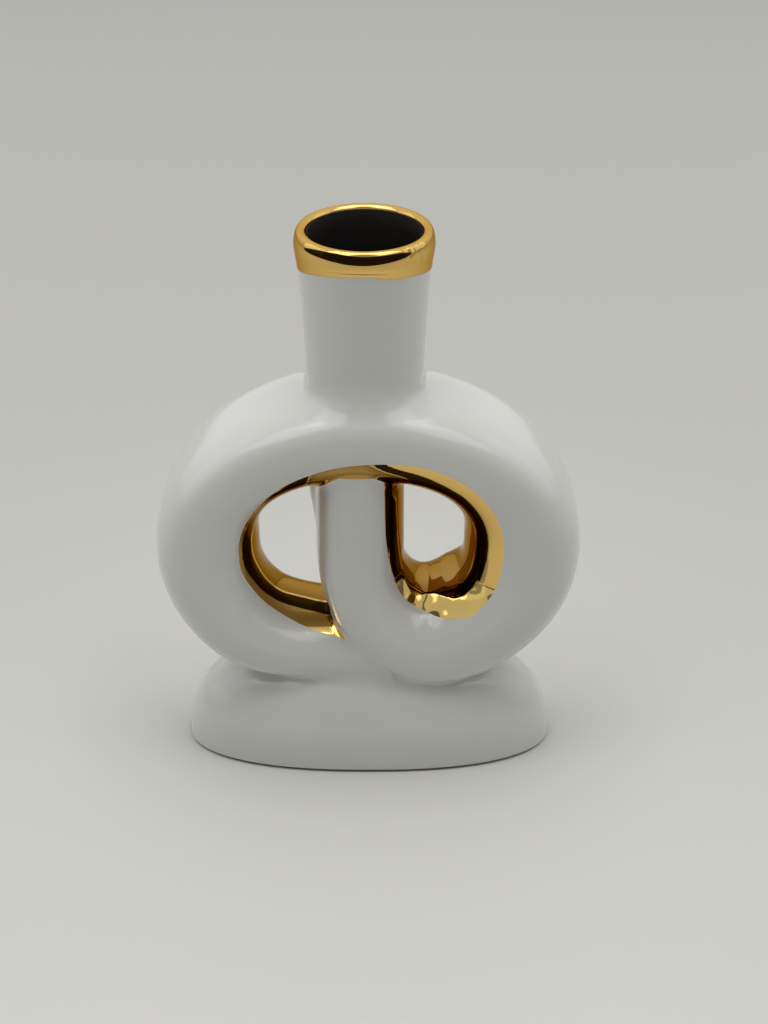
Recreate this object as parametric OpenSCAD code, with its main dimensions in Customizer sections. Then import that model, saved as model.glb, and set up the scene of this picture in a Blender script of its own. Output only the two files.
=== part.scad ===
// Knot vase in glazed ceramic: a tube bent into an oval loop that turns up into a
// column in its own middle, on an oblong domed plinth, with a round neck and gilt edges.
// +Z is up, +X runs along the width, and the front of the vase faces -Y.
// The origin is on the table, under the middle of the plinth.

/* [Loop] */
// Overall width of the loop
loop_width = 187; // [176:1:196]
// Overall height of the loop
loop_rise = 150; // [142:1:156]
// Height of the middle of the loop above the table
loop_height = 105; // [101:0.5:108]
// Depth of the tube, front to back
tube_depth = 66; // [60:1:70]
// How much thinner the tail is than the tube, on each face
tail_sink = 6; // [3:0.5:8]
// How far the underside of the tail rises into the bend of the column
tail_lift = 8; // [6:0.5:10]

/* [Windows] */
// Width of the oval that the column divides into two windows, at its waist
window_width = 91; // [86:1:95]
// Distance of that oval from the middle of the vase, towards its left
window_shift = 3; // [0:0.5:4]
// Height of that oval at its waist
window_rise = 60; // [54:1:64]
// Height of the middle of that oval above the table
window_height = 108; // [105:0.5:110]
// How much deeper the left window reaches down over the tail
tail_drop = 7; // [2:0.5:9]
// How much higher the floor of the right window lies over the bend
bend_fill = 5; // [0:0.5:7]

/* [Column] */
// Distance of the column from the middle of the vase, towards its left
column_shift = 3.6; // [0:0.1:8]
// Width of the column
column_width = 38.8; // [34:0.2:42]
// Depth of the column, front to back
column_depth = 60; // [54:1:63]
// Height of the white face of the column, where the gilt arch crosses its head
column_head = 148; // [142:0.5:152]
// Height of the column's foot, where it starts to bend
column_foot = 100; // [95:0.5:105]
// Length over which the column turns out of the vertical
bend_drop = 26; // [20:0.5:32]
// Length over which the bend runs into the loop
bend_run = 34; // [28:0.5:40]
// How much the half thickness of the tube draws in at the middle of the bend
bend_pinch = 1; // [0:0.5:2]

/* [Plinth] */
// Width of the plinth
plinth_width = 166; // [150:1:180]
// Depth of the plinth, front to back
plinth_depth = 72; // [66:0.5:84]
// Height to which the dome of the plinth would rise under the loop
plinth_height = 51.2; // [46:0.2:56]
// Height of the bare clay foot rim
foot_height = 1.6; // [1:0.1:3]
// Width of the foot rim, as one sees it from below
foot_width = 9; // [6:0.5:12]
// How far the foot rim stands in from the edge of the plinth
foot_inset = 1.2; // [0.5:0.1:3]

/* [Neck] */
// Radius of the neck where it stands on the loop
neck_radius = 24.9; // [23:0.1:27]
// Radius of the neck just under the lip
neck_top_radius = 28.2; // [26:0.1:29]
// Distance of the neck from the middle of the vase, towards its left
neck_shift = 1.2; // [0:0.1:3]
// Radius of the bore down the neck
bore_radius = 21.4; // [18:0.1:22]
// How far the neck reaches down into its hole in the loop
neck_seat_depth = 16; // [14:0.5:20]

/* [Lip] */
// Overall height of the vase
vase_height = 250; // [240:1:262]
// Height of the gilt band round the lip
lip_height = 12.5; // [10:0.5:16]
// Radius of the lip at its fullest
lip_radius = 29.6; // [29:0.1:32]
// Radius of the open mouth
mouth_radius = 24.4; // [23:0.1:26]
// Radius of the rounding of the lip, as a share of its thickness
lip_round_share = 0.46; // [0.3:0.02:0.48]

/* [Walls] */
// Thickness of the cast ceramic wall
wall = 4.45; // [3.5:0.05:6]
// Clearance between pieces that seat in one another
seat_gap = 0.1; // [0.05:0.05:0.2]

/* [Gilding] */
// How far round the tube the gilding runs at the left, from the waist of the window
gilt_left_angle = 57; // [50:1:70]
// How far round the tube the gilding runs at the right
gilt_right_angle = 70; // [50:1:76]
// How far round the tube the gilding runs at the top of the window
gilt_top_angle = 84; // [65:1:86]
// How far round the column the gilding runs on its right side
gilt_column_angle = 55; // [45:1:65]
// How far round the bend below the right window the gilding runs
gilt_bend_angle = 40; // [25:1:50]
// How far round the tube the gilding runs at the foot of the right window
gilt_foot_angle = 48; // [30:1:60]
// How far round the tail the gilding runs at the foot of the left window
gilt_tail_angle = 52; // [35:1:60]
// By how much less it runs round on its way down to the tail
gilt_tail_dip_angle = 12; // [0:1:18]

/* [Hidden] */

$fn = 96;

glaze = "whitesmoke";
gold = "goldenrod";
clay = "tan";

// Counts of sides and steps for the lofted shells
tube_sides = 24;
cavity_sides = 16;
loop_steps = 40;
column_steps = 8;
plinth_sides = 48;
plinth_levels = 9;

// Fullness of the plinth in plan and in height: 2 would be an ellipse
plan_power = 2.35;
dome_power = 2.5;

// Fullness of the window oval above and below its middle
window_top_power = 2.4;
window_foot_power = 3.6;

// Fullness of the tube's section on its outside and its inside
outside_power = 3;
inside_power = 2.1;

// Stations of the loop between which its crown lies, where the column runs up into it
crown_first = 16;
crown_last = 28;

// The loop starts where the bend of the column has become the loop, and runs round to the
// end of its tail, inside the bend; angles are taken from the right side of the loop
merge_angle = -50;
tail_start_angle = 220;
tail_full_angle = 265;
tail_end_angle = 276;
drop_start_angle = 180;
drop_full_angle = 235;

function mix(a, b, s) = a + (b - a) * s;
function ease(s) = let (c = min(max(s, 0), 1)) c * c * (3 - 2 * c);
function unit(v) = v / norm(v);
function full_cos(a, power) = sign(cos(a)) * pow(abs(cos(a)), 2 / power);
function full_sin(a, power) = sign(sin(a)) * pow(abs(sin(a)), 2 / power);

// How much of the tail is reached at an angle round the loop
function tail_share(t) = ease((t - tail_start_angle) / (tail_full_angle - tail_start_angle));

// Outer edge of the loop and waist of the window at an angle t
function loop_edge(t) = [cos(t) * loop_width / 2,
    loop_height + sin(t) * (loop_rise / 2 - tail_lift * tail_share(t))];
function window_reach(t) = window_rise / 2 - bend_fill * ease(t / merge_angle)
    + tail_drop * ease((t - drop_start_angle) / (drop_full_angle - drop_start_angle));
function window_power(t) = sin(t) > 0 ? window_top_power : window_foot_power;
function window_edge(t) = [full_cos(t, window_power(t)) * window_width / 2 - window_shift,
    window_height + full_sin(t, window_power(t)) * window_reach(t)];

// A station of a tube: [middle line point, direction across it, half thickness, half depth]
function loop_station(t) = let (out = loop_edge(t), in = window_edge(t)) [(out + in) / 2,
    unit(out - in), norm(out - in) / 2, tube_depth / 2 - tail_sink * tail_share(t)];

// The bend of the column is one curve from its foot to the loop, with a handle at each end
merge = loop_station(merge_angle);
bend_from = [-column_shift, column_foot];
bend_handle_from = bend_from - [0, bend_drop];
bend_handle_to = merge[0] - [-merge[1][1], merge[1][0]] * bend_run;
function bend_point(s) = bend_from * pow(1 - s, 3) + 3 * bend_handle_from * s * pow(1 - s, 2)
    + 3 * bend_handle_to * s * s * (1 - s) + merge[0] * pow(s, 3);
function bend_along(s) = unit((bend_handle_from - bend_from) * pow(1 - s, 2)
    + 2 * (bend_handle_to - bend_handle_from) * s * (1 - s) + (merge[0] - bend_handle_to) * s * s);
function bend_station(s) = s == 1 ? merge : let (along = bend_along(s)) [bend_point(s),
    [along[1], -along[0]], mix(column_width / 2, merge[2], ease(s)) - bend_pinch * sin(180 * s),
    mix(column_depth / 2, merge[3], ease(s))];

// The straight of the column runs from its foot up into the tube at the top of the loop
column_top = (loop_height + loop_rise / 2 + window_height + window_rise / 2) / 2;
straight_top = [[-column_shift, column_top], [-1, 0], column_width / 2, column_depth / 2];

// Ring of points round a station, drawn in by an inset for the cavity
function ring(station, sides, inset) = [for (i = [0 : sides - 1]) let (a = 360 * i / sides,
    power = cos(a) > 0 ? outside_power : inside_power,
    across = (station[2] - inset) * full_cos(a, power)) [
        station[0][0] + station[1][0] * across,
        (station[3] - inset) * full_sin(a, power),
        station[0][1] + station[1][1] * across]];

// Closed loft through a row of rings, each with as many points
module loft(rings) {
    count = len(rings[0]);
    last = (len(rings) - 1) * count;
    polyhedron([for (r = rings) each r], concat(
        [for (i = [1 : count - 2]) [0, i, i + 1]],
        [for (first = [0 : count : last - count], i = [0 : count - 1], half = [0, 1])
            let (a = first + i, b = first + (i + 1) % count)
            half == 0 ? [a, a + count, b] : [b, a + count, b + count]],
        [for (i = [1 : count - 2]) [last, last + i + 1, last + i]]));
}

// Stretch of the loop between two of its stations, counted from the bend
loop_step = (tail_start_angle - merge_angle) / loop_steps;
module loop_stretch(first, last, sides, inset) {
    loft([for (i = [first : last]) ring(loop_station(merge_angle + i * loop_step), sides, inset)]);
}
module loop_tube(sides, inset) {
    loop_stretch(0, loop_steps, sides, inset);
}

// The tail, from the loop into the back of the bend
tail_steps = ceil(loop_steps / 4);
module tail_tube(sides, inset) {
    loft([for (i = [0 : tail_steps])
        ring(loop_station(mix(tail_start_angle, tail_end_angle, i / tail_steps)), sides, inset)]);
}

module column_tube(sides, inset) {
    loft(concat([ring(straight_top, sides, inset)],
        [for (i = [0 : column_steps]) ring(bend_station(i / column_steps), sides, inset)]));
}

// Full oblong outline, between an ellipse and a rectangle
function oblong(half_width, half_depth, z) = [for (i = [0 : plinth_sides - 1])
    let (a = 360 * i / plinth_sides) [half_width * full_cos(a, plan_power),
        half_depth * full_sin(a, plan_power), z]];
function flat(points) = [for (p = points) [p[0], p[1]]];

// Share of the plinth's spread that is left at a share of its height
function dome_share(u) = pow(1 - pow(u, dome_power), 1 / dome_power);
function dome_ring(angle, inset) = let (u = sin(angle), rise = plinth_height - foot_height - inset)
    oblong((plinth_width / 2 - inset) * dome_share(u), (plinth_depth / 2 - inset) * dome_share(u),
        foot_height + rise * u);

// The dome is closed just short of its crown, which lies inside the loop
dome_crown_angle = 84;
module dome(inset) {
    step = dome_crown_angle / plinth_levels;
    for (i = [0 : plinth_levels - 1]) hull() loft([dome_ring(i * step, inset),
        dome_ring((i + 1) * step, inset)]);
}

module body_cavity() {
    loop_tube(cavity_sides, wall);
    tail_tube(cavity_sides, wall);
    column_tube(cavity_sides, wall);
    intersection() {
        dome(wall);
        translate([-plinth_width, -plinth_depth, foot_height + wall])
            cube([2 * plinth_width, 2 * plinth_depth, plinth_height]);
    }
}

// The neck seats in a round hole in the top of the loop
loop_top = loop_height + loop_rise / 2;
neck_seat = loop_top - neck_seat_depth;
neck_top = vase_height - lip_height;
module neck_hole() {
    translate([-neck_shift, 0, neck_seat - seat_gap])
        cylinder(r = neck_radius + seat_gap, h = vase_height);
}

// How late the gilt line turns from the sides of the windows to their top
gilt_left_turn_power = 4;
gilt_right_turn_power = 2;

// The gilt line inside the loop, and the gilt line down the right side of the column's face
function side_angle(t) = mix(gilt_left_angle, gilt_right_angle, 0.5 + cos(t) / 2);
function top_turn(t) = mix(gilt_left_turn_power, gilt_right_turn_power, 0.5 + cos(t) / 2);
function gilt_angle(t) =
    t < 0 ? mix(side_angle(t), gilt_foot_angle, ease(sin(t) / sin(merge_angle)))
    : t < 180 ? mix(side_angle(t), gilt_top_angle, pow(sin(t), top_turn(t)))
    : mix(side_angle(t), gilt_tail_angle, ease(-sin(t))) - gilt_tail_dip_angle * sin(2 * (t - 180));
function gilt_point(t) = let (st = loop_station(t))
    st[0] - st[1] * st[2] * full_cos(gilt_angle(t), inside_power);
function face_angle(s) = s < 0.5 ? mix(gilt_column_angle, gilt_bend_angle, ease(2 * s))
    : mix(gilt_bend_angle, gilt_foot_angle, ease(2 * s - 1));
function face_right(s) = let (st = bend_station(s))
    st[0] - st[1] * st[2] * full_cos(face_angle(s), inside_power);

// The prism of the column's face runs past the column on its left and at its end
face_overrun = 4;
function face_left(s) = let (st = bend_station(s)) st[0] + st[1] * (st[2] + face_overrun);

// The points of both lines lie half way between stations, and the lines share the stretch that
// passes from the bend on to the loop
loop_gilt_points = concat(
    [for (i = [0.5 : 2 : loop_steps]) gilt_point(merge_angle + i * loop_step)],
    [for (i = [0.5 : 2 : tail_steps]) gilt_point(mix(tail_start_angle, tail_end_angle, i / tail_steps))],
    [gilt_point(tail_end_angle)]);
face_shares = [for (i = [0.5 : column_steps - 1]) i / column_steps];
face_last = len(face_shares) - 1;
loop_gilt = concat([face_right(face_shares[face_last])], loop_gilt_points);
column_face = concat([[face_left(0)[0], column_head]],
    [for (s = face_shares) face_left(s)],
    [face_left(1) + bend_along(1) * face_overrun, loop_gilt_points[0]],
    [for (i = [face_last : -1 : 0]) face_right(face_shares[i])],
    [[face_right(0)[0], column_head]]);

// Prisms from front to back: all that lies within the gilt line, and the column's face
module within_gilt() {
    rotate([90, 0, 0]) linear_extrude(2 * plinth_depth, center = true) polygon(loop_gilt);
}
module within_face() {
    rotate([90, 0, 0]) linear_extrude(2 * plinth_depth, center = true) polygon(column_face);
}

module foot_rim() {
    color(clay) linear_extrude(foot_height) difference() {
        polygon(flat(oblong(plinth_width / 2 - foot_inset, plinth_depth / 2 - foot_inset, 0)));
        polygon(flat(oblong(plinth_width / 2 - foot_inset - foot_width,
            plinth_depth / 2 - foot_inset - foot_width, 0)));
    }
}

module plinth() {
    color(glaze) difference() {
        dome(0);
        loop_tube(tube_sides, 0);
        tail_tube(tube_sides, 0);
        column_tube(tube_sides, 0);
        body_cavity();
    }
}

// The tube of the loop, whole round the outside, with its tail cut off by the column
module loop_body() {
    loop_tube(tube_sides, 0);
    difference() {
        tail_tube(tube_sides, 0);
        column_tube(tube_sides, 0);
    }
}

// The column and its bend, cut off at its head by the crown of the loop
module crown() {
    loop_stretch(crown_first, crown_last, tube_sides, 0);
}
module column_body() {
    difference() {
        column_tube(tube_sides, 0);
        crown();
    }
}

module loop() {
    color(glaze) difference() {
        loop_body();
        body_cavity();
        neck_hole();
        within_gilt();
    }
}

module column() {
    color(glaze) difference() {
        intersection() {
            column_body();
            within_face();
        }
        body_cavity();
    }
}

// Half of space to one side of the middle of the column
module beside(side) {
    translate([side > 0 ? -column_shift : -column_shift - vase_height, -plinth_depth, 0])
        cube([vase_height, 2 * plinth_depth, vase_height]);
}

module left_window_wall() {
    color(gold) difference() {
        intersection() {
            loop_body();
            within_gilt();
            beside(-1);
        }
        body_cavity();
    }
}

// On the right the gilding also covers the column, all but its face
module right_window_wall() {
    color(gold) difference() {
        intersection() {
            union() {
                loop_body();
                column_body();
            }
            within_gilt();
            beside(1);
        }
        difference() {
            within_face();
            crown();
        }
        body_cavity();
    }
}

module neck() {
    color(glaze) translate([-neck_shift, 0, 0]) rotate_extrude() difference() {
        polygon([[0, neck_seat], [neck_radius, neck_seat], [neck_radius, loop_top],
            [neck_top_radius, neck_top], [0, neck_top]]);
        square([bore_radius, vase_height]);
    }
}

// The lip swells out over the neck and rounds over into the mouth
lip_round = (lip_radius - mouth_radius) * lip_round_share;
module gilt_lip() {
    color(gold) translate([-neck_shift, 0, 0]) rotate_extrude() {
        difference() {
            polygon([[0, neck_top], [neck_top_radius, neck_top],
                [lip_radius, vase_height - lip_round], [0, vase_height - lip_round]]);
            polygon([[0, neck_top], [bore_radius, neck_top],
                [mouth_radius, vase_height - lip_round], [0, vase_height - lip_round]]);
        }
        translate([lip_radius - lip_round, vase_height - lip_round]) circle(lip_round);
        translate([mouth_radius + lip_round, vase_height - lip_round]) circle(lip_round);
        translate([mouth_radius + lip_round, vase_height - 2 * lip_round])
            square([lip_radius - mouth_radius - 2 * lip_round, 2 * lip_round]);
    }
}

foot_rim();
plinth();
loop();
column();
left_window_wall();
right_window_wall();
neck();
gilt_lip();
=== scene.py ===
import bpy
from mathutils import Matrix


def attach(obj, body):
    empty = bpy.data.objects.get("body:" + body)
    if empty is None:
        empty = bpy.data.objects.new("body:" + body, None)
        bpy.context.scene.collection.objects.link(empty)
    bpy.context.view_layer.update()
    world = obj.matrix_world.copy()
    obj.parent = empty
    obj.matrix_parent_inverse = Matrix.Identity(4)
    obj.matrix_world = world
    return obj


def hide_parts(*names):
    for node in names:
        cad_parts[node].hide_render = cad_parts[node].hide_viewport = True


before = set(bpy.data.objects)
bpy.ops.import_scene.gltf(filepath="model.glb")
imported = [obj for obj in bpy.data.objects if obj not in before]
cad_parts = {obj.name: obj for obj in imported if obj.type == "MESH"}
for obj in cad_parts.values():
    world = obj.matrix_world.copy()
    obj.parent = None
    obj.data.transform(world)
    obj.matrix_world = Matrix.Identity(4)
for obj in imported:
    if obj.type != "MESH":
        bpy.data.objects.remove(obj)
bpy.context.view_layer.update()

from math import atan2, copysign, cos, degrees, exp, hypot, radians, sin, tau
import bmesh
import bpy
import numpy as np
from mathutils import Vector, noise
from mathutils.bvhtree import BVHTree
from mathutils.interpolate import poly_3d_calc
from mathutils.kdtree import KDTree

mm = 0.001

# The studio: a wide table covered with pale paper, a camera that looks down on it, and soft panels
# overhead, in front and on both sides, in a dim room. None of it belongs to the vase.
camera_pitch = 29.3
camera_data = bpy.data.cameras.new("camera")
camera_data.lens = 77.34
camera_data.sensor_width = 36
camera = bpy.data.objects.new("camera", camera_data)
camera.location = (6.888 * mm, -848.157 * mm, 591.279 * mm)
camera.rotation_euler = (radians(90 - camera_pitch), 0, 0)
bpy.context.scene.collection.objects.link(camera)
bpy.context.scene.camera = camera

paper_radius = 4
paper = bmesh.new()
bmesh.ops.create_circle(paper, segments=96, radius=paper_radius, cap_ends=True)
paper_mesh = bpy.data.meshes.new("paper")
paper.to_mesh(paper_mesh)
paper.free()
paper_table = bpy.data.objects.new("paper", paper_mesh)
bpy.context.scene.collection.objects.link(paper_table)


def ramp(nodes, links, driver, *stops):
    """A colour ramp over a value, from its stops in order"""
    graded = nodes.new("ShaderNodeValToRGB")
    marks = graded.color_ramp.elements
    marks[0].position, marks[0].color = stops[0]
    marks[1].position, marks[1].color = stops[-1]
    for position, colour in stops[1:-1]:
        marks.new(position).color = colour
    links.new(driver, graded.inputs[0])
    return graded


paper_stock = bpy.data.materials.new("pale_paper")
paper_stock.use_nodes = True
nodes, links = paper_stock.node_tree.nodes, paper_stock.node_tree.links
shader = nodes["Principled BSDF"]
shader.inputs["Roughness"].default_value = 0.75
shader.inputs["Specular IOR Level"].default_value = 0.25
place = nodes.new("ShaderNodeTexCoord")
pool = nodes.new("ShaderNodeMapping")
pool.inputs["Location"].default_value = (0, 0.2, 0)
pool.inputs["Scale"].default_value = (1.25, 1, 1)
far = nodes.new("ShaderNodeVectorMath")
far.operation = "LENGTH"
links.new(place.outputs["Object"], pool.inputs["Vector"])
links.new(pool.outputs["Vector"], far.inputs[0])
halved = nodes.new("ShaderNodeMath")
halved.operation = "MULTIPLY"
halved.inputs[1].default_value = 0.5
links.new(far.outputs["Value"], halved.inputs[0])
# The paper is painted lighter close round the vase as a painted pool of light, darker a little way
# out, and a little lighter again beyond.
painted_light_pool = ramp(nodes, links, halved.outputs["Value"], (0.05, (0.665, 0.66, 0.637, 1)),
    (0.275, (0.565, 0.56, 0.535, 1)), (0.7, (0.61, 0.605, 0.58, 1)), (0.95, (0.6, 0.595, 0.57, 1)))
painted_light_pool.color_ramp.interpolation = "EASE"
links.new(painted_light_pool.outputs[0], shader.inputs["Base Color"])
paper_mesh.materials.append(paper_stock)

room = bpy.data.worlds.new("dim_room")
bpy.context.scene.world = room
room.use_nodes = True
nodes, links = room.node_tree.nodes, room.node_tree.links
side = nodes.new("ShaderNodeTexCoord")
lean = nodes.new("ShaderNodeVectorMath")
lean.operation = "DOT_PRODUCT"
lean.inputs[1].default_value = (0, 0.66, 0.75)
links.new(side.outputs["Generated"], lean.inputs[0])
ceiling_white = (0.76, 0.76, 0.745, 1)
walls_up = ramp(nodes, links, lean.outputs["Value"], (0.12, (0.02, 0.0195, 0.018, 1)),
    (0.62, ceiling_white))
seen = ramp(nodes, links, lean.outputs["Value"], (0.1, (0.34, 0.337, 0.322, 1)),
    (0.62, ceiling_white))
path = nodes.new("ShaderNodeLightPath")
plain_view = nodes.new("ShaderNodeMath")
plain_view.operation = "MAXIMUM"
links.new(path.outputs["Is Camera Ray"], plain_view.inputs[0])
mirrored = nodes.new("ShaderNodeMath")
mirrored.operation = "MAXIMUM"
links.new(path.outputs["Is Glossy Ray"], mirrored.inputs[0])
links.new(path.outputs["Is Transmission Ray"], mirrored.inputs[1])
links.new(mirrored.outputs["Value"], plain_view.inputs[1])
backdrop = nodes.new("ShaderNodeMix")
backdrop.data_type = "RGBA"
links.new(plain_view.outputs["Value"], backdrop.inputs["Factor"])
links.new(walls_up.outputs[0], backdrop.inputs["A"])
links.new(seen.outputs[0], backdrop.inputs["B"])
links.new(backdrop.outputs["Result"], nodes["Background"].inputs["Color"])

for lamp_name, place, aim, size, power in (
        ("ceiling_panel", (0, -0.1, 1.9), (0, 0, 0), (1.4, 1.0), 9),
        ("front_left_panel", (-0.8, -0.7, 1.6), (0, 0, 0.1), (1.1, 0.9), 4.4),
        ("front_right_panel", (0.8, -0.7, 1.6), (0, 0, 0.1), (1.1, 0.9), 3.8),
        ("left_panel", (-1.6, 0, 0.9), (0, 0, 0.1), (1.4, 1.4), 2.6),
        ("right_panel", (1.6, 0.1, 0.9), (0, 0, 0.1), (1.4, 1.4), 2.2)):
    lamp_data = bpy.data.lights.new(lamp_name, "AREA")
    lamp_data.shape = "RECTANGLE"
    lamp_data.size, lamp_data.size_y = size
    lamp_data.energy = power
    lamp = bpy.data.objects.new(lamp_name, lamp_data)
    lamp.location = place
    lamp.rotation_euler = (Vector(aim) - Vector(place)).to_track_quat("-Z", "Y").to_euler()
    bpy.context.scene.collection.objects.link(lamp)

# The foot rim: the bare ring on which the vase stands, wiped clean of glaze before the firing, so
# the grey-buff clay shows as a thin dark line. It is trimmed flat and its edges are softened.
def oval(turn, power):
    """A point of an outline between an ellipse (power 2) and a rectangle"""
    across, deep = cos(turn), sin(turn)
    reach = (abs(across) ** power + abs(deep) ** power) ** (-1 / power)
    return across * reach, deep * reach


def shown(name, shape, node, coating):
    """A finished piece on the one body, in place of its node where it has one"""
    mesh = bpy.data.meshes.new(name)
    shape.to_mesh(mesh)
    shape.free()
    mesh.shade_smooth()
    mesh.materials.append(coating)
    piece = bpy.data.objects.new(name, mesh)
    bpy.context.scene.collection.objects.link(piece)
    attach(piece, "root")
    if node:
        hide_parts(node)
    return piece


def shared_effect(name, inputs, output):
    """A node group that turns a place into a mask or a height"""
    tree = bpy.data.node_groups.new(name, "ShaderNodeTree")
    tree.interface.new_socket("Place", in_out="INPUT", socket_type="NodeSocketVector")
    for label, value in inputs:
        socket = tree.interface.new_socket(label, in_out="INPUT", socket_type="NodeSocketFloat")
        socket.default_value = value
    tree.interface.new_socket(output, in_out="OUTPUT", socket_type="NodeSocketFloat")
    return tree, tree.nodes.new("NodeGroupInput"), tree.nodes.new("NodeGroupOutput")


# Specks: small round marks scattered over a surface, for pits in glaze and grit in clay
specks, given, result = shared_effect("specks", [("Per metre", 60), ("Size", 0.05)], "Mask")
cells = specks.nodes.new("ShaderNodeTexVoronoi")
edge_of = specks.nodes.new("ShaderNodeMapRange")
edge_of.interpolation_type = "SMOOTHSTEP"
specks.links.new(given.outputs["Place"], cells.inputs["Vector"])
specks.links.new(given.outputs["Per metre"], cells.inputs["Scale"])
specks.links.new(cells.outputs["Distance"], edge_of.inputs["Value"])
specks.links.new(given.outputs["Size"], edge_of.inputs["From Max"])
edge_of.inputs["To Min"].default_value, edge_of.inputs["To Max"].default_value = 1, 0
specks.links.new(edge_of.outputs["Result"], result.inputs["Mask"])

# Waves: the slow unevenness of a surface that flowed or was worked by hand
waves, given, result = shared_effect("waves", [("Per metre", 100), ("Sharp", 0.5)], "Height")
swell = waves.nodes.new("ShaderNodeTexNoise")
swell.inputs["Detail"].default_value = 2
waves.links.new(given.outputs["Place"], swell.inputs["Vector"])
waves.links.new(given.outputs["Per metre"], swell.inputs["Scale"])
waves.links.new(given.outputs["Sharp"], swell.inputs["Roughness"])
waves.links.new(swell.outputs["Fac"], result.inputs["Height"])


def finish(name, roughness, metallic=0.0):
    material = bpy.data.materials.new(name)
    material.use_nodes = True
    shader = material.node_tree.nodes["Principled BSDF"]
    shader.inputs["Roughness"].default_value = roughness
    shader.inputs["Metallic"].default_value = metallic
    return material, material.node_tree.nodes, material.node_tree.links, shader


def effect(nodes, links, tree, **values):
    """A shared effect laid over a piece in its own Object coordinates"""
    place = nodes.get("Place") or nodes.new("ShaderNodeTexCoord")
    place.name = "Place"
    used = nodes.new("ShaderNodeGroup")
    used.node_tree = tree
    links.new(place.outputs["Object"], used.inputs["Place"])
    for label, value in values.items():
        used.inputs[label.replace("_", " ")].default_value = value
    return used.outputs[0]


def tinted(nodes, links, mask, plain, marked):
    """One colour over another where the mask shows"""
    tint = nodes.new("ShaderNodeMix")
    tint.data_type = "RGBA"
    tint.inputs["A"].default_value, tint.inputs["B"].default_value = plain, marked
    links.new(mask, tint.inputs["Factor"])
    return tint.outputs["Result"]


def relief(nodes, links, shader, height, depth, strength=1.0):
    """The fine unevenness of a finish, too small for the mesh"""
    bump = nodes.new("ShaderNodeBump")
    bump.inputs["Distance"].default_value = depth
    bump.inputs["Strength"].default_value = strength
    links.new(height, bump.inputs["Height"])
    links.new(bump.outputs["Normal"], shader.inputs["Normal"])


bare_clay, nodes, links, shader = finish("bare_clay", 0.85)
grit = effect(nodes, links, specks, Per_metre=900, Size=0.35)
links.new(tinted(nodes, links, grit, (0.30, 0.27, 0.235, 1), (0.12, 0.10, 0.085, 1)),
    shader.inputs["Base Color"])
relief(nodes, links, shader, effect(nodes, links, waves, Per_metre=1500, Sharp=0.7), 0.0002)

plinth_half_width, plinth_half_depth, plan_power = 83, 36, 2.35
foot_height, foot_inset, foot_width, foot_edge = 1.6, 1.2, 9, 0.35
plan_sides = 192
rim = bmesh.new()
bmesh.ops.create_circle(rim, segments=plan_sides, radius=1, cap_ends=True)
for v in rim.verts:
    across, deep = oval(tau * v.index / plan_sides, plan_power)
    v.co = Vector(((plinth_half_width - foot_inset) * across,
        (plinth_half_depth - foot_inset) * deep, 0)) * mm
middle = rim.faces[:]
bmesh.ops.inset_region(rim, faces=middle, thickness=foot_width * mm, use_even_offset=True,
    use_boundary=True)
bmesh.ops.delete(rim, geom=middle, context="FACES")
drawn = bmesh.ops.extrude_face_region(rim, geom=rim.faces[:])["geom"]
bmesh.ops.translate(rim, verts=[g for g in drawn if isinstance(g, bmesh.types.BMVert)],
    vec=(0, 0, foot_height * mm))
bmesh.ops.recalc_face_normals(rim, faces=rim.faces)
corners = [e for e in rim.edges if e.calc_face_angle(0) > radians(60)]
bmesh.ops.bevel(rim, geom=corners, offset=foot_edge * mm, segments=3, profile=0.5,
    affect="EDGES", material=-1)
shown("wiped_foot", rim, "foot_rim", bare_clay)

# The knot tube: slip-cast ware bent into an oval loop. It leaves the foot of the column in one
# curve, goes once round, thins into a tail and runs into the back of its own bend. Each stretch
# is a sheet rolled round the middle line of the tube.
loop_width, loop_rise, loop_height, tube_depth, tail_sink, tail_lift = 187, 150, 105, 66, 6, 8
window_width, window_shift, window_rise, window_height, tail_drop, bend_fill = 91, 3, 60, 108, 7, 5
column_shift, column_width, column_depth, column_head, column_foot = 3.6, 38.8, 60, 148, 100
bend_drop, bend_run, bend_pinch = 26, 34, 1
outside_power, inside_power, window_top_power, window_foot_power = 3, 2.1, 2.4, 3.6
merge_angle, tail_start, tail_full, tail_end, drop_start, drop_full = -50, 220, 265, 276, 180, 235
straight_share = 0.3
head_lean, lean_from, lean_over = 4.4, 92, 40


def mix(a, b, share):
    return a + (b - a) * share


def ease(share):
    held = min(max(share, 0), 1)
    return held * held * (3 - 2 * held)


def full_cos(angle, power):
    """Cosine and, below, sine round a fuller outline than an ellipse"""
    turned = cos(radians(angle))
    return copysign(abs(turned) ** (2 / power), turned)


def full_sin(angle, power):
    turned = sin(radians(angle))
    return copysign(abs(turned) ** (2 / power), turned)


def loop_station(angle):
    """The loop at an angle: its middle, the way across it, half its width and half its depth"""
    tail = ease((angle - tail_start) / (tail_full - tail_start))
    power = window_top_power if sin(radians(angle)) > 0 else window_foot_power
    reach = (window_rise / 2 - bend_fill * ease(angle / merge_angle)
        + tail_drop * ease((angle - drop_start) / (drop_full - drop_start)))
    outer = Vector((cos(radians(angle)) * loop_width / 2,
        loop_height + sin(radians(angle)) * (loop_rise / 2 - tail_lift * tail)))
    inner = Vector((full_cos(angle, power) * window_width / 2 - window_shift,
        window_height + full_sin(angle, power) * reach))
    return ((outer + inner) / 2, (outer - inner).normalized(), (outer - inner).length / 2,
        tube_depth / 2 - tail_sink * tail)


merge = loop_station(merge_angle)
bend_line = [Vector((-column_shift, column_foot)), Vector((-column_shift, column_foot - bend_drop)),
    merge[0] - Vector((-merge[1][1], merge[1][0])) * bend_run, merge[0]]
column_top = (loop_height + loop_rise / 2 + window_height + window_rise / 2) / 2


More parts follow.
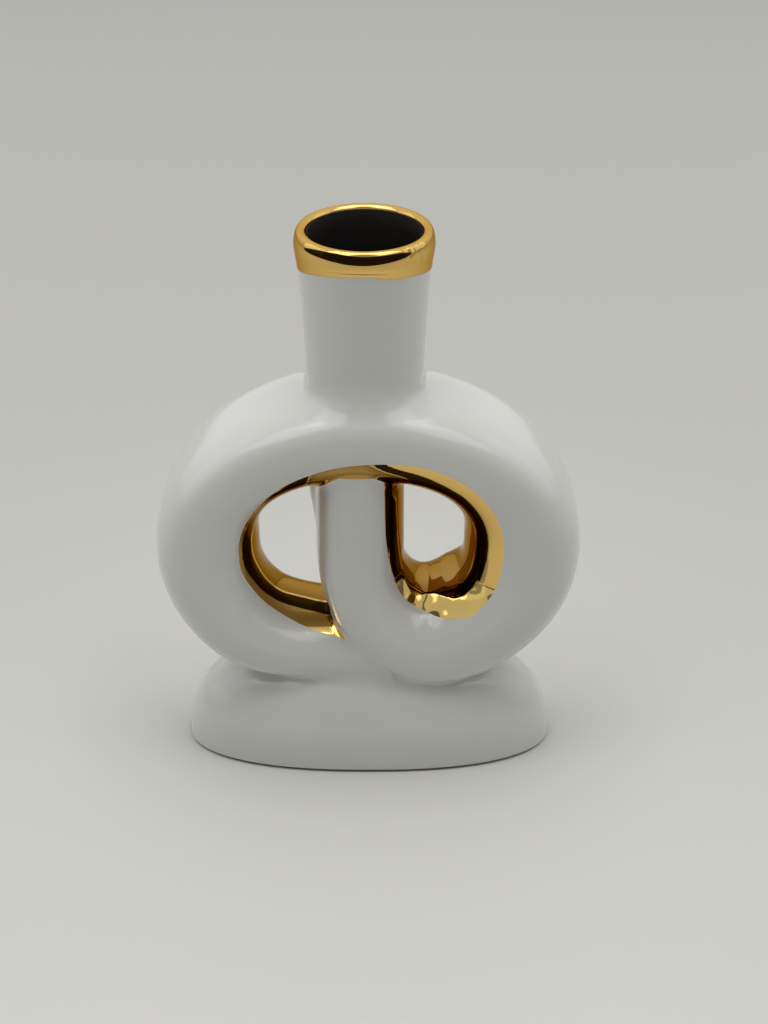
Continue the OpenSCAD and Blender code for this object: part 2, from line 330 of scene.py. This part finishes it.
def bend_station(share):
    """The same along the bend, from the column's foot to where it merges into the loop"""
    a, b, c, d = bend_line
    left = 1 - share
    middle = a * left ** 3 + 3 * b * share * left ** 2 + 3 * c * share ** 2 * left + d * share ** 3
    along = ((b - a) * left ** 2 + 2 * (c - b) * share * left + (d - c) * share ** 2).normalized()
    return (middle, Vector((along[1], -along[0])),
        mix(column_width / 2, merge[2], ease(share)) - bend_pinch * sin(radians(180 * share)),
        mix(column_depth / 2, merge[3], ease(share)))


def column_station(share):
    if share < straight_share:
        return (Vector((-column_shift, mix(column_top, column_foot, share / straight_share))),
            Vector((-1, 0)), column_width / 2, column_depth / 2)
    return bend_station((share - straight_share) / (1 - straight_share))


def straight_back(middle, deep):
    """The head of the column leans a little to the left towards the back, as it was set in"""
    return -head_lean * ease((middle[1] - lean_from) / lean_over) * ease(2.5 * deep)


def rolled(station, steps, shear=lambda middle, deep: 0, sides=96):
    """A sheet rolled round the stations of a stretch of tube"""
    sheet = bmesh.new()
    bmesh.ops.create_grid(sheet, x_segments=steps, y_segments=sides, size=0.5)
    for v in sheet.verts:
        middle, way, half_width, half_depth = station(min(max(v.co.x + 0.5, 0), 1))
        turn = tau * (v.co.y + 0.5)
        across, deep = oval(turn, outside_power if cos(turn) > 0 else inside_power)
        v.co = Vector((middle[0] + way[0] * half_width * across + shear(middle, deep),
            half_depth * deep, middle[1] + way[1] * half_width * across)) * mm
    bmesh.ops.remove_doubles(sheet, verts=sheet.verts, dist=0.001 * mm)
    return sheet


stretches = {
    "column": rolled(column_station, 90, straight_back),
    "loop": rolled(lambda share: loop_station(mix(merge_angle, tail_start, share)), 180),
    "tail": rolled(lambda share: loop_station(mix(tail_start, tail_end, share)), 38),
}

# The plinth: a hollow oblong dome, cast with the loop. Its plan lies between an ellipse and a
# rectangle, its sides start upright and it closes over under the loop. A short skirt runs on below
# the foot and is cut off level later.
plinth_height, dome_power, dome_crown = 51.2, 2.5, 84
skirt_share, skirt_drop = 0.1, 6
dome = bmesh.new()
bmesh.ops.create_grid(dome, x_segments=60, y_segments=plan_sides, size=0.5)
for v in dome.verts:
    climb, turn = v.co.x + 0.5, tau * (v.co.y + 0.5)
    across, deep = oval(turn, plan_power)
    rise = sin(radians(dome_crown * max((climb - skirt_share) / (1 - skirt_share), 0)))
    spread = (1 - rise ** dome_power) ** (1 / dome_power)
    height = foot_height + (plinth_height - foot_height) * rise
    if climb < skirt_share:
        height -= skirt_drop * (skirt_share - climb) / skirt_share
    v.co = Vector((plinth_half_width * spread * across, plinth_half_depth * spread * deep,
        height)) * mm
bmesh.ops.remove_doubles(dome, verts=dome.verts, dist=0.001 * mm)
stretches["plinth"] = dome

# The neck: a round tube thrown separately, let into the crown of the loop and sealed with slip.
# It widens a little towards the lip.
neck_radius, neck_top_radius, neck_shift, bore_radius, neck_seat = 24.9, 28.2, 1.2, 21.4, 164
vase_height, lip_height, loop_top, neck_flare = 250, 12.5, 180, 1.25
neck_top = vase_height - lip_height
gilt_from = neck_top + 1.3
neck_steps = 40


def neck_at(z):
    """The radius of the neck at a height"""
    climb = max((z - loop_top) / (neck_top - loop_top), 0)
    return neck_radius + (neck_top_radius - neck_radius) * climb ** neck_flare


neck = bmesh.new()
profile = []
for step in range(neck_steps + 1):
    z = mix(neck_seat, gilt_from + 5, step / neck_steps)
    profile.append(neck.verts.new(Vector((neck_at(z) - neck_shift, 0, z)) * mm))
line = [neck.edges.new(pair) for pair in zip(profile, profile[1:])]
bmesh.ops.spin(neck, geom=profile + line, cent=(-neck_shift * mm, 0, 0), axis=(0, 0, 1), angle=tau,
    steps=128, use_merge=True)
bmesh.ops.remove_doubles(neck, verts=neck.verts, dist=0.001 * mm)
stretches["neck"] = neck

# The skin: the stretches are luted together with slip, sponged smooth at the joints and dipped in
# glaze, which fills each joint with a small hollow curve. They are closed at their ends, fused
# into one solid, and its surface is drawn on to them with that curve.
fused = bmesh.new()
walls = {}
for name, wall in stretches.items():
    ends = bmesh.ops.holes_fill(wall, edges=wall.edges, sides=0)["faces"]
    bmesh.ops.recalc_face_normals(wall, faces=wall.faces)
    closed = bpy.data.meshes.new(name)
    wall.to_mesh(closed)
    fused.from_mesh(closed)
    bpy.data.meshes.remove(closed)
    bmesh.ops.delete(wall, geom=ends, context="FACES_ONLY")
    wall.normal_update()
    wall.faces.ensure_lookup_table()
    walls[name] = (wall, BVHTree.FromBMesh(wall))
fused_mesh = bpy.data.meshes.new("fused")
fused.to_mesh(fused_mesh)
fused.free()
fused_ware = bpy.data.objects.new("fused", fused_mesh)
bpy.context.scene.collection.objects.link(fused_ware)
remesh = fused_ware.modifiers.new("fuse", "REMESH")
remesh.mode, remesh.voxel_size, remesh.adaptivity = "VOXEL", 1.15 * mm, 0
fused_now = fused_ware.evaluated_get(bpy.context.evaluated_depsgraph_get())
solid = bpy.data.meshes.new_from_object(fused_now)
bpy.data.objects.remove(fused_ware)
skin = bmesh.new()
skin.from_mesh(solid)
bpy.data.meshes.remove(solid)
bpy.data.meshes.remove(fused_mesh)

out_of_reach = 14 * mm
drawing_rounds = 3


def measured(point):
    """How far a point is outside each wall near it, and which way that wall faces"""
    found = {}
    for name, (wall, tree) in walls.items():
        spot, flat, index, gap = tree.find_nearest(point, out_of_reach)
        if spot is None:
            continue
        corners = wall.faces[index].verts
        normal = Vector()
        for v, weight in zip(corners, poly_3d_calc([v.co for v in corners], spot)):
            normal += v.normal * weight
        normal.normalize()
        outward = (point - spot).dot(normal)
        found[name] = (outward if outward < -0.7 * gap else gap, normal)
    return found


def joint_curve(point, one, other):
    """The width of slip in the joint of two stretches"""
    if "neck" in (one, other):
        return mix(4, 14, min(abs(point.y) / (neck_radius * mm), 1) ** 2) * mm
    if "plinth" in (one, other):
        return mix(6, 2.5, ease(abs(point.x / mm) / 45)) * mm
    return 4 * mm


glaze_normal = skin.verts.layers.float_vector.new("glaze_normal")
names = list(walls)
reach_of = {name: skin.verts.layers.float.new("to_" + name) for name in names}
for v in skin.verts:
    for again in range(drawing_rounds):
        found = measured(v.co)
        if not found:
            break
        near = sorted(found, key=lambda name: found[name][0])
        depth, normal = found[near[0]]
        for other in near[1:]:
            gap, facing = found[other]
            curve = joint_curve(v.co, near[0], other) * min(1.5 * (1 - normal.dot(facing)), 1)
            if gap - depth < curve:
                share = 1 - (gap - depth) / curve
                depth -= share * share * curve / 4
                normal = normal.lerp(facing, share / 2).normalized()
        v.co -= normal * depth
    v[glaze_normal] = normal
    for name in names:
        v[reach_of[name]] = found[name][0] if name in found else out_of_reach


def scored(skin, faces, crossing):
    """Cuts the faces along the line on which edges are crossed"""
    kept = set(faces)
    crossed = {}
    for e in list(dict.fromkeys(e for f in faces for e in f.edges)):
        share = crossing(e)
        if share is not None:
            crossed[bmesh.utils.edge_split(e, e.verts[0], min(max(share, 0.02), 0.98))[1]] = True
    for f in list(dict.fromkeys(f for v in crossed for f in v.link_faces if f in kept)):
        ends = [v for v in f.verts if v in crossed]
        if len(ends) == 2:
            bmesh.utils.face_split(f, ends[0], ends[1])


def nearest_wall(v):
    return min(names, key=lambda name: v[reach_of[name]])


def nearer(v, one, other):
    return v[reach_of[one]] - v[reach_of[other]]


def joint_crossing(e):
    a, b = e.verts
    one, other = nearest_wall(a), nearest_wall(b)
    if one == other:
        return None
    here, there = nearer(a, one, other), nearer(b, one, other)
    return here / (here - there) if here < 0 < there else None


scored(skin, skin.faces[:], joint_crossing)


def level_crossing(layer):
    def crossing(e):
        here, there = e.verts[0][layer], e.verts[1][layer]
        return here / (here - there) if here * there < 0 else None
    return crossing


bottom = skin.verts.layers.float.new("over_foot")
top = skin.verts.layers.float.new("under_lip")
middle_plane = skin.verts.layers.float.new("beside")
for v in skin.verts:
    v[bottom] = v.co.z - foot_height * mm
    v[top] = (gilt_from + 0.6) * mm - v.co.z
    v[middle_plane] = v.co.x + column_shift * mm
scored(skin, skin.faces[:], level_crossing(bottom))
scored(skin, skin.faces[:], level_crossing(top))
spare = [f for f in skin.faces
    if sum(v[bottom] for v in f.verts) < 0 or sum(v[top] for v in f.verts) < 0]
bmesh.ops.delete(skin, geom=spare, context="FACES")

part_of = skin.faces.layers.int.new("part")
for f in skin.faces:
    f[part_of] = min(range(len(names)),
        key=lambda i: sum(v[reach_of[names[i]]] for v in f.verts))

# The gilt lines: where the gilder's brush stopped inside the loop, and down the right side of the
# column's face. Each is a row of places along the tube and how far the lustre turns from the
# middle of the window wall towards the front and back.
loop_brush = [(-50, 58.5), (-40, 63), (-30, 62), (-20, 62.5), (-10, 64.5), (0, 68), (10, 71),
    (20, 74), (30, 77.5), (40, 81), (50, 84.5), (60, 86.2), (70, 87), (80, 85.5), (90, 83),
    (100, 79.5), (110, 74.5), (120, 69), (130, 62.5), (140, 55), (150, 51), (160, 50), (170, 50),
    (180, 49.5), (190, 44.5), (200, 39), (210, 35), (220, 32), (230, 31.3), (240, 35),
    (250, 42.5), (260, 51), (276, 66)]
column_brush = [(-1, 58), (-0.5, 57), (-0.2, 53), (0, 47), (0.1, 43), (0.2, 42), (0.3, 41.5),
    (0.4, 40.3), (0.5, 39.3), (0.6, 39.7), (0.7, 42), (0.8, 45.5), (0.9, 51), (1, 58.5)]
overrun = 4
loop_steps, tail_steps, bend_steps = 180, 38, 40


def brushed(row, at):
    """The brush line at a place, as a smooth curve through its row"""
    i = min(max(sum(place <= at for place, turn in row) - 1, 0), len(row) - 2)
    (x0, y0), (x1, y1) = row[i], row[i + 1]
    slope = []
    for j in (i, i + 1):
        after, before = row[min(j + 1, len(row) - 1)], row[max(j - 1, 0)]
        slope.append((after[1] - before[1]) / (after[0] - before[0]) * (x1 - x0))
    share = min(max((at - x0) / (x1 - x0), 0), 1)
    return (y0 * (1 + 2 * share) * (1 - share) ** 2 + slope[0] * share * (1 - share) ** 2
        + y1 * share ** 2 * (3 - 2 * share) + slope[1] * share ** 2 * (share - 1))


def on_tube(station, angle):
    """The point of a station's inner side at an angle from the middle of the window wall"""
    middle, way, half_width, half_depth = station
    return middle - way * half_width * full_cos(angle, inside_power)


def gilt_point(angle):
    return on_tube(loop_station(angle), brushed(loop_brush, angle))


def face_right(share):
    """The right edge of the column's white face; a negative share is up the straight column"""
    station = bend_station(max(share, 0))
    if share < 0:
        station = (station[0] + Vector((0, -share * (column_head - column_foot))),) + station[1:]
    return on_tube(station, brushed(column_brush, share))


def face_left(share):
    middle, way, half_width, half_depth = bend_station(share)
    return middle + way * (half_width + overrun)


loop_gilt = ([face_right(0.97)]
    + [gilt_point(mix(merge_angle, tail_start, i / loop_steps)) for i in range(1, loop_steps + 1)]
    + [gilt_point(mix(tail_start, tail_end, i / tail_steps)) for i in range(1, tail_steps + 1)])
column_face = ([Vector((face_left(0)[0], column_head))]
    + [face_left(i / bend_steps) for i in range(bend_steps + 1)]
    + [face_left(1) + (bend_line[3] - bend_line[2]).normalized() * overrun,
        gilt_point(merge_angle + 6), gilt_point(merge_angle + 3)]
    + [face_right(i / bend_steps) for i in range(bend_steps, -bend_steps - 1, -1)])


def depth_within(points, outline):
    """How far each point lies inside a closed outline; outside is negative"""
    a = np.array([tuple(p) for p in outline])
    b = np.roll(a, -1, axis=0)
    best = np.full(len(points), 1e9)
    inside = np.zeros(len(points), bool)
    for (ax, az), (bx, bz) in zip(a, b):
        along = np.array([bx - ax, bz - az])
        away = points - (ax, az)
        share = np.clip(away @ along / max(along @ along, 1e-12), 0, 1)
        best = np.minimum(best, np.hypot(*(away - share[:, None] * along).T))
        across = (az > points[:, 1]) != (bz > points[:, 1])
        if az != bz:
            inside ^= across & (points[:, 0] < (bx - ax) * (points[:, 1] - az) / (bz - az) + ax)
    return np.where(inside, best, -best)


# The plinth is closed underneath, and the skin is shared out among the pieces of the ware: each
# stretch keeps its own, but the walls of the two windows are the gilder's.
sole_edge = 1.5
foot_edges = [e for e in skin.edges if e.is_boundary and e.verts[0].co.z < 2 * foot_height * mm]
sole = bmesh.ops.holes_fill(skin, edges=foot_edges, sides=0)["faces"]
for f in sole:
    f[part_of] = names.index("plinth")
bmesh.ops.inset_region(skin, faces=sole, thickness=sole_edge * mm, use_even_offset=True)
for v in {v for f in sole for v in f.verts}:
    v[glaze_normal] = (0, 0, -1)

in_gilt = skin.verts.layers.float.new("in_gilt")
in_face = skin.verts.layers.float.new("in_face")
flat_places = np.array([(v.co.x / mm, v.co.z / mm) for v in skin.verts])
for layer, outline in ((in_gilt, loop_gilt), (in_face, column_face)):
    for v, depth in zip(skin.verts, depth_within(flat_places, outline)):
        v[layer] = depth
column_index = names.index("column")
tube_indices = (names.index("loop"), names.index("tail"))
scored(skin, [f for f in skin.faces if f[part_of] == column_index], level_crossing(in_face))
scored(skin, [f for f in skin.faces if f[part_of] in tube_indices], level_crossing(in_gilt))
gilded = [f for f in skin.faces
    if f[part_of] in tube_indices and sum(v[in_gilt] for v in f.verts) > 0]
scored(skin, gilded, level_crossing(middle_plane))
white_left = -15
shares = ("plinth", "loop", "column", "left_window_wall", "right_window_wall", "neck")
for f in skin.faces:
    kind = names[f[part_of]]
    if kind in ("plinth", "neck"):
        owner = kind
    elif kind == "column":
        left = f.calc_center_median()[0] < white_left * mm
        white = left or sum(v[in_face] for v in f.verts) > 0
        owner = "column" if white else "right_window_wall"
    elif sum(v[in_gilt] for v in f.verts) > 0:
        left = sum(v[middle_plane] for v in f.verts) < 0
        owner = "left_window_wall" if left else "right_window_wall"
    else:
        owner = "loop"
    f.material_index = shares.index(owner)
for wall, tree in walls.values():
    wall.free()

# The lustre was brushed on along the tube, and its colour is painted in bands that follow the gilt
# line: plain bright gold next to the white, then a thick near-black band, a painted reflection of
# the dark room, then a thin bright line, a painted highlight, and brown deeper in the window, a
# painted reflection of the gold walls in each other. The floor of the right window was pared flat
# with a knife where it meets the front; its colour is painted in bright and dark patches, painted
# reflections of its facets. The width of the plain bright gold is given by the angle round the
# window. Below 0 there is none.
plain_gold_width = [(-90, 9), (-40, 9), (0, 7.9), (40, 6), (60, 4.2), (76, 1), (90, -5), (112, -5.5),
    (124, -1), (140, 1.5), (165, 2.5), (190, 2.7), (215, 5), (235, 9), (260, 10), (270, 10)]
column_plain_gold, plain_gold_level, inside_painted_shade = 1, -3, 4
pared_from, pared_below, pared_reach, pared_depth = 10, 93, 9.5, 0.45


def edge_spot(place, station, row, at):
    """A point of the front gilt line in space"""
    return place[0], -station[3] * full_sin(brushed(row, at), inside_power), place[1]


loop_edge = [edge_spot(gilt_point(t), loop_station(t), loop_brush, t)
    for t in range(merge_angle + 2, tail_end, 2)]
column_edge = [edge_spot(face_right(i / 25), bend_station(max(i / 25, 0)), column_brush, i / 25)
    for i in range(-25, 24)]
edge_tree = KDTree(len(loop_edge) + len(column_edge))
for i, spot in enumerate(loop_edge + column_edge):
    edge_tree.insert(spot, i)
edge_tree.balance()
painted_reflection_band = skin.verts.layers.float.new("painted_reflection_band")
pared = skin.verts.layers.float_vector.new("pared")
noise.seed_set(1)
gilt_index = [shares.index(name) for name in ("left_window_wall", "right_window_wall")]
for v in {v for f in skin.faces if f.material_index in gilt_index for v in f.verts}:
    x, y, z = v.co / mm
    around = degrees(atan2(z - window_height, x + window_shift))
    spot, index, away = edge_tree.find(v.co / mm)
    on_column = index >= len(loop_edge)
    bright = (column_plain_gold if on_column
        else brushed(plain_gold_width, around if around > -90 else around + 360))
    narrowed = 1 + 1.2 * ease((around - 56) / 14) * ease((124 - around) / 12)
    v[painted_reflection_band] = max((away - bright) * narrowed, plain_gold_level)
    # On the pared floor the bands give way to bright gold and dark olive patches, painted
    # reflections of its facets.
    if x > pared_from and y < 0 and z < pared_below:
        edge = pared_reach + 1.5 * noise.noise(Vector((x / 7, 0, z / 7)))
        flat = ease((edge - away) / 1.6 + 0.5) * ease((x - pared_from) / 2)
        pared_painted_reflections = -6 + 5 * max(noise.noise(Vector((x / 5, y / 5, z / 4))), 0)
        v[painted_reflection_band] = mix(v[painted_reflection_band], pared_painted_reflections, flat)
        mark = noise.noise_vector(Vector((x / 7, y / 9, z / 9)))
        cut = Vector((0.6 * v[glaze_normal][0] + 0.25 * mark[0], -0.71 + 0.25 * mark[1], 0.7))
        v[pared] = v[glaze_normal].lerp(cut.normalized(), flat).normalized()
        hollow = pared_depth * max(1 - (2 * away / pared_reach - 1) ** 2, 0)
        hollow += 0.12 * mark[2] * ease(away / 2)
        v.co -= v[glaze_normal] * hollow * flat * mm

# The finishes of the ware: a white glaze, thin enough to show the waves and the odd pit of the
# casting, and a gold lustre that was brushed on over it and fired again.
white_glaze, nodes, links, shader = finish("white_glaze", 0.2)
pits = effect(nodes, links, specks, Per_metre=16, Size=0.006)
cloud = effect(nodes, links, waves, Per_metre=22, Sharp=0.6)
cast = tinted(nodes, links, cloud, (0.68, 0.685, 0.655, 1), (0.735, 0.74, 0.71, 1))
spotted = tinted(nodes, links, pits, (0.75, 0.755, 0.74, 1), (0.16, 0.13, 0.10, 1))
links.new(cast, spotted.node.inputs["A"])
links.new(spotted, shader.inputs["Base Color"])
shader.inputs["Coat Weight"].default_value = 0.6
shader.inputs["Coat Roughness"].default_value = 0.1
relief(nodes, links, shader, effect(nodes, links, waves, Per_metre=70, Sharp=0.4), 0.0003, 0.2)

gold_lustre, nodes, links, shader = finish("gold_lustre", 0.05, 1.0)
shader.inputs["Specular Tint"].default_value = (0.7, 0.52, 0.34, 1)
# Only the bright gold is the lustre's own colour; the near-black, brown and pale brown are painted
# reflections, and the near-black is also the painted shade inside the gilt walls.
painted_dark_facets, bright, painted_dark_reflection_and_shade = (0.25, 0.18, 0.06, 1), (0.80, 0.53, 0.165, 1), (0.03, 0.015, 0.005, 1)
painted_brown_reflection, painted_pale_brown_reflection = (0.27, 0.14, 0.035, 1), (0.45, 0.27, 0.085, 1)
painted_reflection_bands = nodes.new("ShaderNodeAttribute")
painted_reflection_bands.attribute_name = "painted_reflection_band"
band_wobble = effect(nodes, links, waves, Per_metre=90, Sharp=0.4)
uneven = nodes.new("ShaderNodeMath")
uneven.operation = "MULTIPLY_ADD"
uneven.inputs[1].default_value = 1.2
links.new(band_wobble, uneven.inputs[0])
links.new(painted_reflection_bands.outputs["Fac"], uneven.inputs[2])
band_place = nodes.new("ShaderNodeMapRange")
band_place.inputs["From Min"].default_value, band_place.inputs["From Max"].default_value = -5.4, 18.6
links.new(uneven.outputs["Value"], band_place.inputs["Value"])
# The narrow bright stop between the near-black and the brown is a painted highlight.
painted_reflections = ramp(nodes, links, band_place.outputs["Result"], (0.06, painted_dark_facets), (0.1, bright),
    (0.24, bright), (0.265, painted_dark_reflection_and_shade), (0.56, painted_dark_reflection_and_shade), (0.59, bright), (0.61, bright), (0.64, painted_brown_reflection),
    (1, painted_pale_brown_reflection))
links.new(painted_reflections.outputs[0], shader.inputs["Base Color"])
relief(nodes, links, shader, effect(nodes, links, waves, Per_metre=60, Sharp=0.3), 0.0005, 0.25)

# The pieces of the ware: each is its share of the skin, cast to a wall of one thickness. The inside
# of each gilt wall is painted near-black, painted shade for the unlit hollow. The extrusion keeps
# the faces it starts from, turned to look inwards.
cast_wall = 3.2
piece_names = {"plinth": "glazed_plinth", "loop": "glazed_loop", "column": "glazed_column",
    "neck": "glazed_neck", "left_window_wall": "gilt_left_wall",
    "right_window_wall": "gilt_right_wall"}
for name in shares:
    shape = skin.copy()
    others = [f for f in shape.faces if f.material_index != shares.index(name)]
    bmesh.ops.delete(shape, geom=others, context="FACES")
    drawn = bmesh.ops.extrude_face_region(shape, geom=shape.faces[:], use_keep_orig=True)["geom"]
    outer = {g for g in drawn if isinstance(g, bmesh.types.BMVert)}
    facing_of, pared_of = [shape.verts.layers.float_vector[layer]
        for layer in ("glaze_normal", "pared")]
    painted_reflection_band_of = shape.verts.layers.float["painted_reflection_band"]
    if name == "right_window_wall":
        for v in shape.verts:
            if v[pared_of].length > 0.5:
                v[facing_of] = v[pared_of]
    for v in shape.verts:
        if v not in outer:
            v.co -= v[facing_of] * cast_wall * mm
            v[facing_of] = -v[facing_of]
            # The inside takes the near-black of the lustre ramp: painted shade.
            v[painted_reflection_band_of] = inside_painted_shade
    for f in shape.faces:
        f.material_index = 0
    gilt = name.endswith("wall")
    piece = shown(piece_names[name], shape, name,
        gold_lustre if gilt else white_glaze)
    facing = piece.data.attributes["glaze_normal"].data
    piece.data.normals_split_custom_set_from_vertices([tuple(n.vector) for n in facing])
skin.free()

# The gilt lip: the thick rolled edge of the mouth, rounded over inside and out and brushed with
# lustre down to a hand-drawn line. The brush left a few faint upright wrinkles.
lip_radius, mouth_radius, crest_radius = 29.5, 24.3, 26.6
lip_full, crown_from, mouth_drop, gilt_dip = 242.8, 243.4, 2, 5
gilt_foot = gilt_from - gilt_dip
flare_steps = 16
wrinkles = ((-0.9, 0.03, 0.3), (-0.78, 0.025, 0.25), (-0.62, 0.035, 0.2), (-1.95, 0.035, 0.15),
    (2, 0.03, 0.2))


def thrown(shape, outline, steps):
    """Turns a closed outline of radii and heights round the middle line of the neck"""
    ring = [shape.verts.new(Vector((r - neck_shift, 0, z)) * mm) for r, z in outline]
    line = [shape.edges.new((a, b)) for a, b in zip(ring, ring[1:] + ring[:1])]
    bmesh.ops.spin(shape, geom=ring + line, cent=(-neck_shift * mm, 0, 0), axis=(0, 0, 1),
        angle=tau, steps=steps, use_merge=True)


def flared(share):
    """The outside of the lip, from the edge of the gilding to its fullest"""
    z = mix(gilt_foot, lip_full, share)
    return neck_at(z) + mix(0.35, lip_radius - neck_at(lip_full), ease(share)), z


lip = bmesh.new()
outline = [(mouth_radius + 0.05, gilt_foot), (neck_at(gilt_foot) - 0.5, gilt_foot)]
outline += [flared(i / flare_steps) for i in range(flare_steps + 1)]
outline += [(mix(crest_radius, lip_radius, cos(radians(t)) ** 0.8),
    mix(crown_from, vase_height, sin(radians(t)))) for t in range(0, 90, 4)]
outline += [(mix(crest_radius, mouth_radius, sin(radians(t))),
    mix(vase_height - mouth_drop, vase_height, cos(radians(t)))) for t in range(0, 91, 15)]
thrown(lip, outline, 360)
bmesh.ops.remove_doubles(lip, verts=lip.verts, dist=0.001 * mm)
bmesh.ops.recalc_face_normals(lip, faces=lip.faces)
lip_reflection_band = lip.verts.layers.float.new("painted_reflection_band")
for v in lip.verts:
    around = atan2(v.co.y, v.co.x + neck_shift * mm)
    toward = (around + radians(97)) / radians(54)
    shoulder = (v.co.z / mm - 247.1 - 0.3 * sin(5 * around)) / 2
    outside = hypot(v.co.x / mm + neck_shift, v.co.y / mm) > 27.2
    # Across the front of the lip's outer shoulder a near-black band is painted: a painted
    # reflection of the dark room.
    lip_dark_reflection = 6 - 7 * (toward ** 2 + shoulder ** 2)
    v[lip_reflection_band] = max(lip_dark_reflection, plain_gold_level) if outside else plain_gold_level
    low = ease((243 - v.co.z / mm) / (243 - gilt_foot))
    wander = 0.35 * sin(3 * around + 1) + 0.2 * sin(7 * around)
    v.co.z += (gilt_dip * abs(sin(around)) ** 1.5 + wander) * low * mm
    flare = hypot(v.co.x / mm + neck_shift, v.co.y / mm)
    for place, width, depth in wrinkles:
        place += 0.02 * sin(v.co.z / mm * 0.6 + 9 * place)
        dent = depth * exp(-((around - place) / width) ** 2)
        dent *= ease(flare - 26) * ease((v.co.z / mm - 240) / 3)
        v.co.x -= cos(around) * dent * mm
        v.co.y -= sin(around) * dent * mm
shown("rolled_lip", lip, "gilt_lip", gold_lustre)

# The bore: the inside of the neck, a thin near-black sleeve that widens into the mouth and ends in
# the hollow crown of the loop. Its near-black colour is painted shade for the unlit inside.
bore_painted_shade, nodes, links, shader = finish("bore_painted_shade", 0.6)
shader.inputs["Specular IOR Level"].default_value = 0.15
bore_shade_tone = effect(nodes, links, waves, Per_metre=90, Sharp=0.6)
links.new(tinted(nodes, links, bore_shade_tone, (0.004, 0.0035, 0.003, 1), (0.012, 0.009, 0.007, 1)),
    shader.inputs["Base Color"])
sleeve_foot, widens_from, widens_to = neck_seat + 2, neck_top - 2, neck_top + 3
bore = bmesh.new()
thrown(bore, [(bore_radius, sleeve_foot), (bore_radius + 0.3, sleeve_foot),
    (bore_radius + 0.3, widens_from), (mouth_radius - 0.1, widens_to),
    (mouth_radius - 0.1, vase_height - 1.6), (mouth_radius - 0.5, vase_height - 1.9),
    (mouth_radius - 0.5, widens_to), (bore_radius, widens_from)], 96)
bmesh.ops.recalc_face_normals(bore, faces=bore.faces)
shown("neck_bore", bore, None, bore_painted_shade)

bpy.context.scene.view_settings.view_transform = "Standard"
